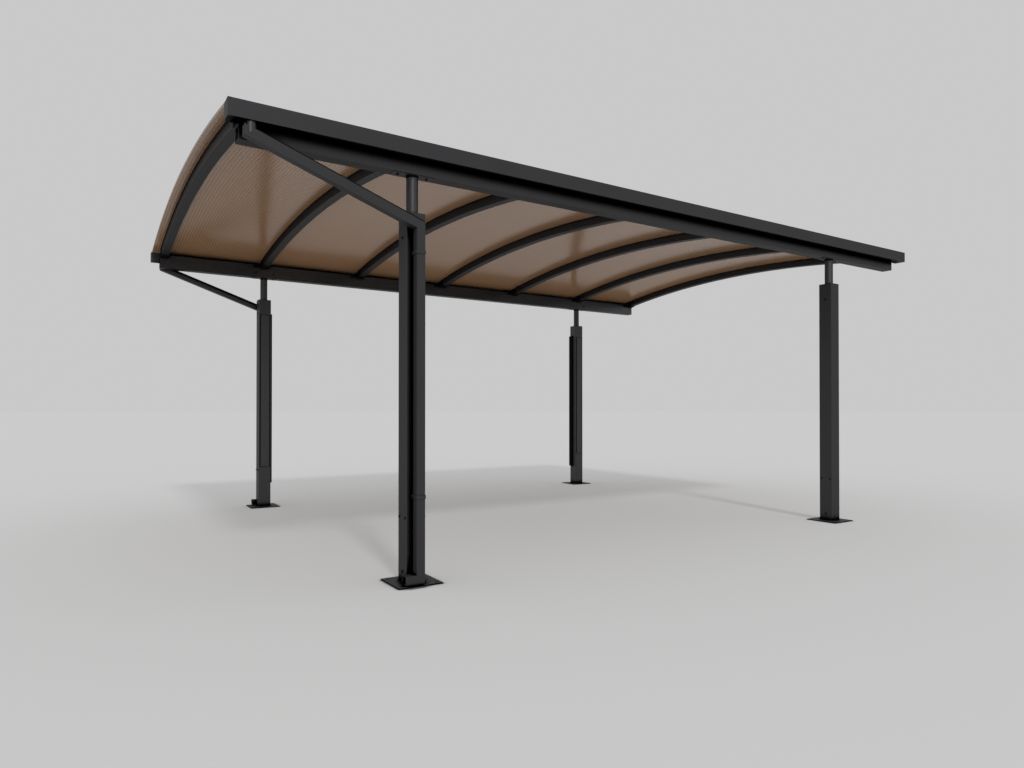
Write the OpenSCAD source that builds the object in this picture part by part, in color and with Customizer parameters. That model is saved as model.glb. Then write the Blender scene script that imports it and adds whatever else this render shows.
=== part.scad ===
// Open carport with a shallow arched roof on four adjustable posts.
// The long side runs along X, the width along Y, and Z points up.
// The origin is the middle of the footprint, on the level that the base plates stand on.

/* [Posts] */
// Distance between post centres along the long side
post_gap_x = 3480; // [2800:10:4200]
// Distance between post centres across the width
post_gap_y = 3142; // [2600:2:3400]
// Width of a square post
post_w = 100; // [80:1:120]
// Wall of a post
post_wall = 3; // [2:0.5:5]
// Radius of the post's corners
post_round = 3; // [1:0.5:6]
// Height of a post, up to the top of its cap
post_h = 1810; // [1500:10:2200]
// Thickness of the cap that closes a post
cap_t = 5; // [3:1:10]

/* [Base plates] */
// Side of a square base plate
plate_w = 230; // [200:5:280]
// Thickness of a base plate
plate_t = 6; // [5:1:12]
// Diameter of an anchor hole
anchor_d = 14; // [9:1:18]
// Distance between anchor holes along one side
anchor_gap = 180; // [160:5:200]

/* [Adjustable stubs] */
// Outer diameter of the round stub that carries a beam
stub_d = 58; // [45:1:66]
// Wall of the stub
stub_wall = 4; // [2.5:0.5:6]
// Length of the stub that shows between the post and the beam
stub_show = 193; // [80:1:350]
// Length of the stub that is held inside the post
stub_in = 250; // [120:10:500]

/* [Beams] */
// Length of a beam
beam_len = 5120; // [4600:2:6000]
// Width of a beam
beam_w = 74; // [70:1:90]
// Height of a beam
beam_h = 107; // [90:1:140]
// Wall of a beam
beam_wall = 3; // [2:0.5:4]
// Depth of the shelf inside a beam, on which the rib shoes stand
pocket_h = 40; // [36:1:50]
// Depth of the notches in a beam's inner face, where the ribs enter
notch_h = 26; // [25:1:34]

/* [Gutters] */
// Width of a gutter
gutter_w = 78; // [74:1:110]
// Height of a gutter's front
gutter_h = 76; // [66:1:100]
// Wall of a gutter
gutter_wall = 2; // [1.5:0.5:3]
// Height of the gutter's front edge above the top of the beam
gutter_rise = 31; // [27:1:45]
// Gap between the ends of the roof panels and a gutter's end walls
gutter_end_gap = 3.5; // [1:0.5:20]
// Gap between a gutter's low back wall and the roof panels
gutter_back_gap = 3; // [1:0.5:8]

/* [Roof ribs] */
// Width of a rib
rib_w = 56; // [40:1:70]
// Height of a rib's section
rib_h = 56; // [50:1:70]
// Wall of a rib
rib_wall = 2.5; // [1.5:0.5:4]
// Radius of the top face of the ribs
rib_r = 10114; // [8000:2:14000]
// Depth of a rib's underside below the beam's top, where it enters the beam
rib_sink = 20; // [14:1:24]
// Thickness of the shoe that holds the end of a rib
shoe_t = 4; // [3:0.5:8]
// Length that a rib shoe stands out of the beam
shoe_out = 8; // [4:1:20]

/* [Roof panels] */
// Thickness of a multiwall roof panel
panel_t = 16; // [10:1:25]
// Gap between two panels on top of a rib
panel_joint = 6; // [3:1:12]
// Length that the panels reach past the ends of the beams
panel_side = 52; // [10:1:90]
// Length that the panels reach past the beams, over the gutters
panel_over = 24; // [10:1:40]
// Width of the cover strip over a panel joint
cover_w = 60; // [40:1:90]
// Thickness of the cover strip
cover_t = 5; // [3:0.5:10]

/* [Downpipes] */
// Width of the downpipe, along the long side
pipe_w = 42; // [36:1:60]
// Depth of the downpipe, across the width
pipe_d = 46; // [36:1:48]
// Wall of the downpipe
pipe_wall = 2; // [1:0.5:3]
// Outer diameter of the gutter outlet
outlet_d = 50; // [40:1:60]
// Width of the outlet's flange on the gutter's floor
flange_w = 3; // [2:0.5:8]
// Thickness of that flange
flange_t = 1.5; // [1:0.5:3]
// Distance from the gutter's front to the middle of the downpipe
pipe_inset = 31; // [31:0.5:40]
// Distance from the end of the beam to the end of the sloping pipe
slope_inset = 10; // [0:1:60]
// Distance from the end of the sloping pipe to the middle of the outlet
outlet_inset = 29; // [27:1:60]
// Depth of the sloping pipe's upper end below the gutter
slope_drop = 39; // [36:1:80]
// Depth of the bend below the top of the post
bend_drop = 72; // [60:1:300]
// Height of the middle of the outlet shoe
outfall_h = 33; // [32:1:80]
// Distance from the base plate's edge in to the open end of the outlet shoe
outfall_inset = 37; // [0:1:60]
// Height of the lower clip that holds the drop
clip_low = 427; // [200:1:900]
// Distance from the top of the post down to the upper clip
clip_drop = 202; // [180:1:500]
// Height of one clip
clip_h = 18; // [10:1:40]
// Thickness of a clip around the pipe
clip_t = 3; // [2:0.5:6]

/* [Guard strips] */
// Width of a guard strip
strip_w = 73; // [40:1:80]
// Thickness of the rubber strips that face along the bay
bumper_t = 13; // [6:1:20]
// Height of the lower end of a rubber strip
bumper_low = 203; // [50:1:600]
// Distance from the top of the post down to the upper end of a rubber strip
bumper_drop = 102; // [60:1:600]
// Thickness of the strips that face across the bay
rail_t = 5; // [3:1:12]
// Height of the lower end of a rail strip
rail_low = 351; // [50:1:600]
// Distance from the top of the post down to the upper end of a rail strip
rail_drop = 123; // [60:1:600]

/* [Fits] */
// Gap between pieces that seat on each other
seat = 0.3; // [0.1:0.1:0.8]
// Gap around the end of a rib in its shoe
rib_fit = 0.5; // [0.2:0.1:0.9]
// Gap around a stub in the post cap
stub_fit = 0.5; // [0.2:0.1:0.9]

/* [Hidden] */
ARC_FN = 720;
ROUND_FN = 64;
PAST = 2;
RIBS = 7;

beam_z = post_h + stub_show;
beam_top = beam_z + beam_h;
shelf_z = beam_top - pocket_h;
beam_y = post_gap_y / 2;
beam_in = beam_y - beam_w / 2;
beam_out = beam_y + beam_w / 2;
post_out = beam_y + post_w / 2;
roof_len = beam_len + 2 * panel_side;
gutter_len = roof_len + 2 * (gutter_end_gap + gutter_wall);
gutter_front = beam_out + gutter_w;
gutter_top = beam_top + gutter_rise;
gutter_z = gutter_top - gutter_h;
rib_low_r = rib_r - rib_h;
arch_z = beam_top - rib_sink - sqrt(rib_low_r * rib_low_r - beam_in * beam_in);
panel_pitch = roof_len / (RIBS - 1);
end_rib_x = beam_len / 2 - rib_w / 2 - shoe_t;
rib_end = beam_out - beam_wall - PAST;
panel_r = rib_r + seat;
panel_end = beam_out + panel_over;
pocket_w = rib_w + 2 * shoe_t + 2 * seat;
pipe_y = gutter_front - pipe_inset;
drop_x = -post_gap_x / 2;
outfall_x = drop_x - plate_w / 2 + outfall_inset;
slope_x = -beam_len / 2 + slope_inset;
outlet_x = slope_x + outlet_inset;
pipe_path = [[slope_x, gutter_z - slope_drop], [drop_x, post_h - bend_drop],
             [drop_x, outfall_h], [outfall_x, outfall_h]];
outlet_low = gutter_z - slope_drop - pipe_w / 4;

frame_grey = "#3c3c3e";
panel_bronze = "#7d624b";
rubber_black = "#161617";

// Height of a circle around the arch's axis, at a distance from the middle
function arc_height(r, y) = arch_z + sqrt(r * r - y * y);
// Inner ribs carry the panel joints, and the end ribs stand at the ends of the beams
function rib_x(i) = min(max((i - (RIBS - 1) / 2) * panel_pitch, -end_rib_x), end_rib_x);

// Corners of the pipe run: each joint is mitred, and the top end is cut upright
function along(i) = let (d = pipe_path[i + 1] - pipe_path[i]) d / norm(d);
function across(i) = let (u = along(i)) [-u[1], u[0]];
function joint(i) =
    i == 0 ? [0, 1 / along(0)[0]] :
    i == len(pipe_path) - 1 ? across(i - 1) :
    let (n = across(i - 1) + across(i)) n / (n * across(i));
function run_outline(i, half, start, end) = [
    pipe_path[i] + joint(i) * half - along(i) * start,
    pipe_path[i + 1] + joint(i + 1) * half + along(i) * end,
    pipe_path[i + 1] - joint(i + 1) * half + along(i) * end,
    pipe_path[i] - joint(i) * half - along(i) * start];

// Square with exact round corners
module round_square(w, r) {
    square([w - 2 * r, w], center = true);
    square([w, w - 2 * r], center = true);
    for (x = [-1, 1], y = [-1, 1])
        translate([x * (w / 2 - r), y * (w / 2 - r)]) circle(r, $fn = ROUND_FN);
}

// Shape drawn in Y and Z, stretched along X
module bar(length) {
    rotate([90, 0, 90]) linear_extrude(length, center = true) children();
}

// Far half as drawn, near half as its mirror image
module on_side(side) {
    mirror([0, side < 0 ? 1 : 0, 0]) children();
}

module at_post(sx, sy) {
    translate([sx * post_gap_x / 2, sy * post_gap_y / 2, 0]) children();
}

// Section drawn with its height above r_low along X and its width along Y, swept from
// the top of the arch to both sides, as far as "reach" from the middle
module arch_sweep(x, r_low, r_high, reach) {
    for (side = [0, 1])
        translate([x, 0, arch_z]) mirror([0, side, 0]) rotate([0, -90, 0])
            rotate_extrude(angle = asin(reach / r_high), $fn = ARC_FN)
                translate([r_low, 0]) children();
}

// Plain slab with square ends around the arch's axis
module arch_slab(x, width, r_low, r_high, reach) {
    arch_sweep(x, r_low, r_high, reach)
        translate([0, -width / 2]) square([r_high - r_low, width]);
}

module plate(sx, sy) {
    color(frame_grey) at_post(sx, sy) difference() {
        linear_extrude(plate_t) square(plate_w, center = true);
        for (x = [-1, 1], y = [-1, 1])
            translate([x * anchor_gap / 2, y * anchor_gap / 2, -PAST])
                cylinder(d = anchor_d, h = plate_t + 2 * PAST, $fn = ROUND_FN);
    }
}

module post(sx, sy) {
    color(frame_grey) at_post(sx, sy) difference() {
        translate([0, 0, plate_t]) linear_extrude(post_h - plate_t)
            round_square(post_w, post_round);
        translate([0, 0, plate_t - PAST]) linear_extrude(post_h - plate_t - cap_t + PAST)
            square(post_w - 2 * post_wall, center = true);
        translate([0, 0, post_h - cap_t - PAST])
            cylinder(d = stub_d + 2 * stub_fit, h = cap_t + 2 * PAST, $fn = ROUND_FN);
    }
}

module stub(sx, sy) {
    low = post_h - stub_in;
    high = shelf_z - beam_wall - seat;
    color(frame_grey) at_post(sx, sy) translate([0, 0, low]) difference() {
        cylinder(d = stub_d, h = high - low, $fn = ROUND_FN);
        translate([0, 0, -PAST])
            cylinder(d = stub_d - 2 * stub_wall, h = high - low + 2 * PAST, $fn = ROUND_FN);
    }
}

// Box section with a shelf that carries the rib shoes
module beam_section() {
    difference() {
        translate([beam_in, beam_z]) square([beam_w, beam_h]);
        translate([beam_in + beam_wall, beam_z + beam_wall])
            square([beam_w - 2 * beam_wall, shelf_z - beam_z - 2 * beam_wall]);
        translate([beam_in + beam_wall, shelf_z])
            square([beam_w - 2 * beam_wall, beam_top - beam_wall - shelf_z]);
    }
}

module beam(side) {
    color(frame_grey) on_side(side) difference() {
        bar(beam_len) beam_section();
        for (i = [0 : RIBS - 1]) translate([rib_x(i), 0, 0]) bar(pocket_w) {
            translate([beam_in - PAST, beam_top - notch_h])
                square([beam_wall + 2 * PAST, notch_h + PAST]);
            translate([beam_in - PAST, beam_top - beam_wall - PAST])
                square([beam_w - beam_wall + PAST, beam_wall + 2 * PAST]);
        }
        for (sx = [-1, 1])
            translate([sx * post_gap_x / 2, beam_y, beam_z - PAST])
                cylinder(d = stub_d + 2 * stub_fit, h = beam_wall + 2 * PAST, $fn = ROUND_FN);
    }
}

// Channel with a low back wall under the panels, and closed ends
module gutter(side) {
    back_top = arc_height(panel_r, beam_out + gutter_wall) - gutter_back_gap;
    color(frame_grey) on_side(side) difference() {
        union() {
            bar(gutter_len) difference() {
                translate([beam_out, gutter_z]) square([gutter_w, gutter_h]);
                translate([beam_out + gutter_wall, gutter_z + gutter_wall])
                    square([gutter_w - 2 * gutter_wall, gutter_h]);
                translate([beam_out - PAST, back_top])
                    square([gutter_wall + 2 * PAST, gutter_h]);
            }
            for (sx = [-1, 1])
                translate([sx * (gutter_len - gutter_wall) / 2, 0, 0]) bar(gutter_wall)
                    translate([beam_out, gutter_z]) square([gutter_w, gutter_h]);
        }
        translate([outlet_x, pipe_y, gutter_z - PAST])
            cylinder(d = outlet_d + 2 * seat, h = gutter_wall + 2 * PAST, $fn = ROUND_FN);
    }
}

// Open boots that stand on the beam's shelf, reach out through the notches in its inner
// face and hold the rib ends
module rib_shoes(side) {
    outer_w = rib_w + 2 * shoe_t;
    inner_w = rib_w + 2 * rib_fit;
    low_y = beam_in - shoe_out;
    web_y = beam_in + beam_wall + seat;
    high_y = beam_out - beam_wall - seat;
    lip_z = beam_top - notch_h + seat;
    bed = [for (y = [low_y, high_y]) [y, arc_height(rib_low_r, y) - seat]];
    color(rubber_black) on_side(side) for (i = [0 : RIBS - 1])
        translate([rib_x(i), 0, 0]) difference() {
            bar(outer_w) polygon([
                [low_y, lip_z], [web_y, lip_z], [web_y, shelf_z],
                [high_y, shelf_z], [high_y, beam_top], [low_y, beam_top]]);
            bar(inner_w) polygon([
                bed[0] - [PAST, 0], bed[1] + [PAST, 0],
                [high_y + PAST, beam_top + PAST], [low_y - PAST, beam_top + PAST]]);
        }
}

module rib(i) {
    color(frame_grey) arch_sweep(rib_x(i), rib_low_r, rib_r, rib_end)
        difference() {
            translate([0, -rib_w / 2]) square([rib_h, rib_w]);
            translate([rib_wall, -rib_w / 2 + rib_wall])
                square([rib_h - 2 * rib_wall, rib_w - 2 * rib_wall]);
        }
}

module panel(i) {
    left = i == 0 ? -roof_len / 2 : rib_x(i) + panel_joint / 2;
    right = i == RIBS - 2 ? roof_len / 2 : rib_x(i + 1) - panel_joint / 2;
    color(panel_bronze)
        arch_slab((left + right) / 2, right - left, panel_r, panel_r + panel_t, panel_end);
}

module cover_strips() {
    low_r = panel_r + panel_t + seat;
    color(frame_grey) for (i = [0 : RIBS - 1])
        arch_slab(rib_x(i), cover_w, low_r, low_r + cover_t, panel_end);
}

// One straight length of the rectangular downpipe
module pipe_run(i, start, end) {
    translate([0, pipe_y, 0]) rotate([90, 0, 0]) difference() {
        linear_extrude(pipe_d, center = true) polygon(run_outline(i, pipe_w / 2, 0, 0));
        linear_extrude(pipe_d - 2 * pipe_wall, center = true)
            polygon(run_outline(i, pipe_w / 2 - pipe_wall, start, end));
    }
}

// Round outlet with a flange that lies on the gutter's floor
module outlet(side) {
    flange_z = gutter_z + gutter_wall;
    length = flange_z - outlet_low;
    color(frame_grey) on_side(side) translate([outlet_x, pipe_y, outlet_low]) difference() {
        union() {
            cylinder(d = outlet_d, h = length, $fn = ROUND_FN);
            translate([0, 0, length])
                cylinder(d = outlet_d + 2 * flange_w, h = flange_t, $fn = ROUND_FN);
        }
        translate([0, 0, -PAST])
            cylinder(d = outlet_d - 2 * pipe_wall, h = length + flange_t + 2 * PAST,
                     $fn = ROUND_FN);
    }
}

module slope_pipe(side) {
    color(frame_grey) on_side(side) difference() {
        pipe_run(0, -pipe_wall, PAST);
        translate([outlet_x, pipe_y, outlet_low - seat])
            cylinder(d = outlet_d + 2 * seat, h = gutter_z - outlet_low, $fn = ROUND_FN);
    }
}

module drop_pipe(side) {
    color(frame_grey) on_side(side) pipe_run(1, PAST, PAST);
}

module outfall(side) {
    color(frame_grey) on_side(side) pipe_run(2, PAST, PAST);
}

// Straps that hold the drop off the post
module pipe_clips(side) {
    reach = pipe_y + pipe_d / 2 + clip_t - post_out;
    color(frame_grey) on_side(side) for (z = [clip_low, post_h - clip_drop])
        translate([drop_x, post_out, z]) difference() {
            translate([-pipe_w / 2 - clip_t, 0, -clip_h / 2])
                cube([pipe_w + 2 * clip_t, reach, clip_h]);
            translate([-pipe_w / 2 - seat, -PAST, -clip_h])
                cube([pipe_w + 2 * seat, PAST + reach - clip_t + seat, 2 * clip_h]);
        }
}

// Rubber strip on the face that looks along the bay
module bumper(sx, sy) {
    color(rubber_black) at_post(sx, sy) translate([-sx * (post_w + bumper_t) / 2, 0, bumper_low])
        linear_extrude(post_h - bumper_drop - bumper_low)
            square([bumper_t, strip_w], center = true);
}

// Rail strip on the face that looks across the bay
module rail(sx, sy) {
    color(frame_grey) at_post(sx, sy) translate([0, -sy * (post_w + rail_t) / 2, rail_low])
        linear_extrude(post_h - rail_drop - rail_low)
            square([strip_w, rail_t], center = true);
}

plate(-1, -1);  // near_left_plate
plate(1, -1);  // near_right_plate
plate(-1, 1);  // far_left_plate
plate(1, 1);  // far_right_plate
post(-1, -1);  // near_left_post
post(1, -1);  // near_right_post
post(-1, 1);  // far_left_post
post(1, 1);  // far_right_post
stub(-1, -1);  // near_left_stub
stub(1, -1);  // near_right_stub
stub(-1, 1);  // far_left_stub
stub(1, 1);  // far_right_stub
beam(-1);  // near_beam
beam(1);  // far_beam
gutter(-1);  // near_gutter
gutter(1);  // far_gutter
rib_shoes(-1);  // near_rib_shoes
rib_shoes(1);  // far_rib_shoes
rib(0);  // rib_1
rib(1);  // rib_2
rib(2);  // rib_3
rib(3);  // rib_4
rib(4);  // rib_5
rib(5);  // rib_6
rib(6);  // rib_7
panel(0);  // panel_1
panel(1);  // panel_2
panel(2);  // panel_3
panel(3);  // panel_4
panel(4);  // panel_5
panel(5);  // panel_6
cover_strips();
outlet(-1);  // near_outlet
outlet(1);  // far_outlet
slope_pipe(-1);  // near_slope_pipe
slope_pipe(1);  // far_slope_pipe
drop_pipe(-1);  // near_drop_pipe
drop_pipe(1);  // far_drop_pipe
outfall(-1);  // near_outfall
outfall(1);  // far_outfall
pipe_clips(-1);  // near_pipe_clips
pipe_clips(1);  // far_pipe_clips
bumper(-1, 1);  // far_left_bumper
bumper(1, 1);  // far_right_bumper
rail(-1, -1);  // near_left_rail
rail(1, -1);  // near_right_rail
rail(-1, 1);  // far_left_rail
rail(1, 1);  // far_right_rail
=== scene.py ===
import math

import bmesh
import bpy
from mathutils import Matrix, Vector


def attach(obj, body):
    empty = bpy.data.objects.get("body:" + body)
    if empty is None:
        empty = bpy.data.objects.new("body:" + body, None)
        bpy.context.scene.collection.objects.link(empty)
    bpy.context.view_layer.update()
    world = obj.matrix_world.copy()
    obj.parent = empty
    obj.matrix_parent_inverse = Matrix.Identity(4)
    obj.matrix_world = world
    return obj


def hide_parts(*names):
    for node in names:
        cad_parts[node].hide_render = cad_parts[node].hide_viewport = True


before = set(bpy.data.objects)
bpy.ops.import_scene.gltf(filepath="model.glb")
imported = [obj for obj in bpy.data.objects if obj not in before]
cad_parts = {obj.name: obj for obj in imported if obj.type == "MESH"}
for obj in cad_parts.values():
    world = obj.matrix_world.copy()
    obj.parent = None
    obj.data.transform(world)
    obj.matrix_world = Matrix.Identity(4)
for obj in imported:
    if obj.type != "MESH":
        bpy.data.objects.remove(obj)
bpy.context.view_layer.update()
print("stage: frame loaded")

# Sizes of the frame that the dressing pieces have to fit, in metres
carport = {
    "postX": 1.740, "postY": 1.571, "postW": 0.100, "plateT": 0.006,
    "beamBottom": 2.003, "beamTop": 2.110, "beamIn": 1.534,
    "ribLowR": 10.058, "ribTopR": 10.114, "ribW": 0.056, "ribSink": 0.020, "ribs": 7,
    "roofHalf": 2.612, "panelEnd": 1.632, "panelT": 0.016, "panelJoint": 0.006,
    "endRibX": 2.528, "seat": 0.0003, "stubR": 0.029, "capW": 0.060, "capT": 0.005,
    "pipeY": 1.655, "pipeW": 0.042, "pipeD": 0.046, "clipT": 0.003,
}
corners = [(-1, -1), (1, -1), (-1, 1), (1, 1)]    # (side along x, side along y) of each post
bays = carport["ribs"] - 1
archZ = (carport["beamTop"] - carport["ribSink"]
         - math.sqrt(carport["ribLowR"] ** 2 - carport["beamIn"] ** 2))
panelR = carport["ribTopR"] + carport["seat"]
panelPitch = 2 * carport["roofHalf"] / bays


def ribX(i):
    # the ribs stand on the panel joints, the two outer ones at the ends of the beams
    return min(max((i - bays / 2) * panelPitch, -carport["endRibX"]), carport["endRibX"])


# Node helpers

def newMaterial(name):
    mat = bpy.data.materials.new(name)
    mat.use_nodes = True
    return mat, mat.node_tree, mat.node_tree.nodes["Principled BSDF"]


def place(tree, group, **values):
    # one of the shared groups, with its inputs set
    node = tree.nodes.new("ShaderNodeGroup")
    node.node_tree = groups[group]
    for label, value in values.items():
        node.inputs[label.replace("_", " ")].default_value = value
    return node


def maths(tree, operation, clamp=False):
    node = tree.nodes.new("ShaderNodeMath")
    node.operation = operation
    node.use_clamp = clamp
    return node


def mapRange(tree, fromLow, fromHigh, toLow=0.0, toHigh=1.0):
    node = tree.nodes.new("ShaderNodeMapRange")
    node.inputs["From Min"].default_value = fromLow
    node.inputs["From Max"].default_value = fromHigh
    node.inputs["To Min"].default_value = toLow
    node.inputs["To Max"].default_value = toHigh
    return node


def spread(tree, value, low, high):
    # 0 to 1 becomes low to high
    node = mapRange(tree, 0.0, 1.0, low, high)
    tree.links.new(value, node.inputs["Value"])
    return node.outputs[0]


def mixColour(tree, factor, first, second):
    mix = tree.nodes.new("ShaderNodeMix")
    mix.data_type = "RGBA"
    tree.links.new(factor, mix.inputs["Factor"])
    for socket, value in (("A", first), ("B", second)):
        target = [s for s in mix.inputs if s.name == socket and s.type == "RGBA"][0]
        if isinstance(value, tuple):
            target.default_value = value + (1,)
        else:
            tree.links.new(value, target)
    return [s for s in mix.outputs if s.type == "RGBA"][0]


def bumpInto(tree, skin, height, strength, distance):
    bump = tree.nodes.new("ShaderNodeBump")
    bump.inputs["Strength"].default_value = strength
    bump.inputs["Distance"].default_value = distance
    tree.links.new(height, bump.inputs["Height"])
    tree.links.new(bump.outputs["Normal"], skin.inputs["Normal"])


# View, light and floor

view = {
    "place": (-3.1459, -4.6857, 0.8475), "tiltUp": 0.429, "turnRight": 32.616,
    "lens": 24.065, "sensor": 36.0, "shiftY": 0.0201, "farthest": 2000.0,
}


def makeCamera():
    data = bpy.data.cameras.new("viewpoint")
    data.lens = view["lens"]
    data.sensor_width = view["sensor"]
    data.shift_y = view["shiftY"]
    data.clip_end = view["farthest"]
    cam = bpy.data.objects.new("viewpoint", data)
    bpy.context.scene.collection.objects.link(cam)
    cam.location = view["place"]
    cam.rotation_euler = (math.radians(90 + view["tiltUp"]), 0,
                          -math.radians(view["turnRight"]))
    bpy.context.scene.camera = cam


light = {
    "sky": 0.80, "sun": 0.95, "sunAngle": 7.0, "sunWay": (0.20, 1.04, -1.0),
    "backdrop": 0.584, "floor": 0.60, "floorGlow": 0.32, "floorSize": 600.0,
    # painted contact shade on the floor round the object's feet
    "contactReach": 0.05, "contactDark": 0.84, "contactClear": 1.0, "paintedContactShade": 0.10,
}


def seenDirectly(tree):
    # 1 for camera, glossy and transmission rays
    path = tree.nodes.new("ShaderNodeLightPath")
    seen = maths(tree, "MAXIMUM")
    seenToo = maths(tree, "MAXIMUM")
    tree.links.new(path.outputs["Is Camera Ray"], seen.inputs[0])
    tree.links.new(path.outputs["Is Glossy Ray"], seen.inputs[1])
    tree.links.new(seen.outputs[0], seenToo.inputs[0])
    tree.links.new(path.outputs["Is Transmission Ray"], seenToo.inputs[1])
    return seenToo.outputs[0]


def makeLight():
    bpy.context.scene.view_settings.view_transform = "Standard"
    sun = bpy.data.lights.new("softSun", "SUN")
    sun.energy = light["sun"]
    sun.angle = math.radians(light["sunAngle"])
    lamp = bpy.data.objects.new("softSun", sun)
    lamp.rotation_euler = Vector(light["sunWay"]).to_track_quat("-Z", "Y").to_euler()
    bpy.context.scene.collection.objects.link(lamp)

    world = bpy.data.worlds.new("studio")
    bpy.context.scene.world = world
    world.use_nodes = True
    tree = world.node_tree
    tree.nodes.clear()
    out = tree.nodes.new("ShaderNodeOutputWorld")
    mix = tree.nodes.new("ShaderNodeMixShader")
    sky = tree.nodes.new("ShaderNodeBackground")
    back = tree.nodes.new("ShaderNodeBackground")
    sky.inputs["Color"].default_value = (1, 1, 1, 1)
    sky.inputs["Strength"].default_value = light["sky"]
    back.inputs["Color"].default_value = (light["backdrop"],) * 3 + (1,)
    back.inputs["Strength"].default_value = 1.0
    tree.links.new(seenDirectly(tree), mix.inputs[0])
    tree.links.new(sky.outputs[0], mix.inputs[1])
    tree.links.new(back.outputs[0], mix.inputs[2])
    tree.links.new(mix.outputs[0], out.inputs["Surface"])


def makeFloor():
    bm = bmesh.new()
    bmesh.ops.create_grid(bm, x_segments=8, y_segments=8, size=light["floorSize"] / 2)
    floor = bmToObject(bm, "studioFloor")
    # seen by the camera or in a reflection, part of the floor's light is its own, as
    # on a lit studio floor, so the shadows stay soft
    mat, tree, skin = newMaterial("paleFloor")
    # painted contact shade: near the object's feet the floor's colour darkens, and its own
    # light drops there too
    paintedShadeNode = place(tree, "paintedShade", Reach=light["contactReach"], Dark_At=light["contactDark"],
                 Clear_At=light["contactClear"], Highest_Face=anyFace)
    tone = mixColour(tree, paintedShadeNode.outputs["Open"], (light["paintedContactShade"],) * 3,
                     (light["floor"],) * 3)
    tree.links.new(tone, skin.inputs["Base Color"])
    skin.inputs["Roughness"].default_value = 1.0
    skin.inputs["Specular IOR Level"].default_value = 0.0
    glow = tree.nodes.new("ShaderNodeEmission")
    glow.inputs["Color"].default_value = (light["backdrop"],) * 3 + (1,)
    share = maths(tree, "MULTIPLY")
    share.inputs[1].default_value = light["floorGlow"]
    mix = tree.nodes.new("ShaderNodeMixShader")
    shaded = maths(tree, "MULTIPLY")
    tree.links.new(seenDirectly(tree), share.inputs[0])
    tree.links.new(share.outputs[0], shaded.inputs[0])
    tree.links.new(paintedShadeNode.outputs["Open"], shaded.inputs[1])
    tree.links.new(shaded.outputs[0], mix.inputs[0])
    tree.links.new(skin.outputs[0], mix.inputs[1])
    tree.links.new(glow.outputs[0], mix.inputs[2])
    tree.links.new(mix.outputs[0], tree.nodes["Material Output"].inputs["Surface"])
    floor.data.materials.append(mat)


# Mesh helpers

def quad(bm, *verts):
    bm.faces.new(verts)


def bmToObject(bm, name):
    bmesh.ops.recalc_face_normals(bm, faces=bm.faces)
    mesh = bpy.data.meshes.new(name)
    bm.to_mesh(mesh)
    bm.free()
    obj = bpy.data.objects.new(name, mesh)
    bpy.context.scene.collection.objects.link(obj)
    return obj


def sweep(bm, outline, stations, put):
    # outline holds the points of a closed section, and put(point, station) sets them in space
    rings = [[bm.verts.new(put(p, s)) for p in outline] for s in stations]
    count = len(outline)
    for a, b in zip(rings, rings[1:]):
        for k in range(count):
            quad(bm, a[k], a[(k + 1) % count], b[(k + 1) % count], b[k])
    bm.faces.new(rings[0][::-1])
    bm.faces.new(rings[-1])


def prism(bm, outline, start, end, axis):
    # a section in the two other axes, run along x or z
    order = {"x": (1, 2, 0), "z": (0, 1, 2)}[axis]

    def put(point, station):
        spot = [0, 0, 0]
        for slot, value in zip(order, (*point, station)):
            spot[slot] = value
        return spot
    sweep(bm, outline, (start, end), put)


def turned(bm, at, axis, profile, steps=24, sides=6):
    # a round piece from (radius, height) points; radii below zero are cut with flat sides
    up = Vector(axis).normalized()
    across = up.orthogonal().normalized()
    along = up.cross(across)
    rings = []
    for radius, height in profile:
        ring = []
        for k in range(steps):
            a = 2 * math.pi * k / steps
            reach = radius
            if radius < 0:
                reach = -radius / math.cos(a % (2 * math.pi / sides) - math.pi / sides)
            ring.append(bm.verts.new(Vector(at) + up * height
                                     + (across * math.cos(a) + along * math.sin(a)) * reach))
        rings.append(ring)
    for a, b in zip(rings, rings[1:]):
        for k in range(steps):
            quad(bm, a[k], a[(k + 1) % steps], b[(k + 1) % steps], b[k])
    bm.faces.new(rings[0][::-1])
    bm.faces.new(rings[-1])


def tube(bm, at, section, steps=48):
    # a closed section of (radius, height) points turned about the vertical
    rings = []
    for radius, height in section:
        rings.append([bm.verts.new((at[0] + radius * math.cos(2 * math.pi * k / steps),
                                    at[1] + radius * math.sin(2 * math.pi * k / steps),
                                    at[2] + height)) for k in range(steps)])
    for a, b in zip(rings, rings[1:] + rings[:1]):
        for k in range(steps):
            quad(bm, a[k], a[(k + 1) % steps], b[(k + 1) % steps], b[k])


def mirrored(points):
    return [(-x, z) for x, z in points[::-1]]


def onRim(rim, t):
    # where a ray from the middle meets the outline
    way = Vector((math.cos(t), math.sin(t)))
    for a, b in zip(rim, rim[1:] + rim[:1]):
        a, b = Vector(a), Vector(b)
        edge = b - a
        cross = way.x * edge.y - way.y * edge.x
        if abs(cross) < 1e-12:
            continue
        along = (a.x * edge.y - a.y * edge.x) / cross
        part = (a.x * way.y - a.y * way.x) / cross
        if along > 0 and -1e-9 <= part <= 1 + 1e-9:
            return way * along
    return way * 0


def onArch(x, radius, angle):
    return (x, radius * math.sin(angle), archZ + radius * math.cos(angle))


# Shader groups and finishes

effects = {
    "grainDetail": 3.0, "blotchDetail": 5.0, "blotchRough": 0.6,
    "dustSlope": (0.55, 0.98), "dustPatches": (0.35, 0.7), "dustLeast": 0.35, "dustDetail": 6.0,
    "wearHighlightSharp": (0.995, 0.85), "wearHighlightPatches": (0.45, 0.65), "wearHighlightScale": 35.0, "wearHighlightDetail": 5.0,
    "wearHighlightSamples": 4, "paintedShadeSamples": 16, "undersideShadeTilt": (-0.2, -1.0),
}


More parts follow.
